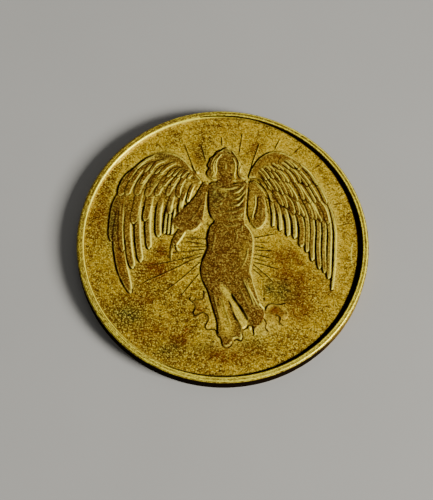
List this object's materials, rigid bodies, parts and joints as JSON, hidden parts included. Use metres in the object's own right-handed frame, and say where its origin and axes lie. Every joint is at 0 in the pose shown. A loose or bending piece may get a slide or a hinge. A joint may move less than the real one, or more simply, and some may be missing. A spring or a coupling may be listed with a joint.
{
  "type": "transit token",
  "caption": "Round struck brass token with a raised rim and a low relief of a robed winged figure amid rays and clouds.",
  "frame": {"origin": "centre of the reverse rim's resting plane, which is the centre of the bounding box's bottom face", "axes": "+Z out through the obverse, which carries the figure; +Y to the top of the figure, past its head; +X to the viewer's right as the obverse is read"},
  "size_m": [0.028, 0.028, 0.0018],
  "materials": {
    "brass": "worn and stained struck brass, browned in the relief and rubbed bright on the rim and the edges"
  },
  "bodies": {
    "root": {"token": "brass"}
  },
  "joints": []
}
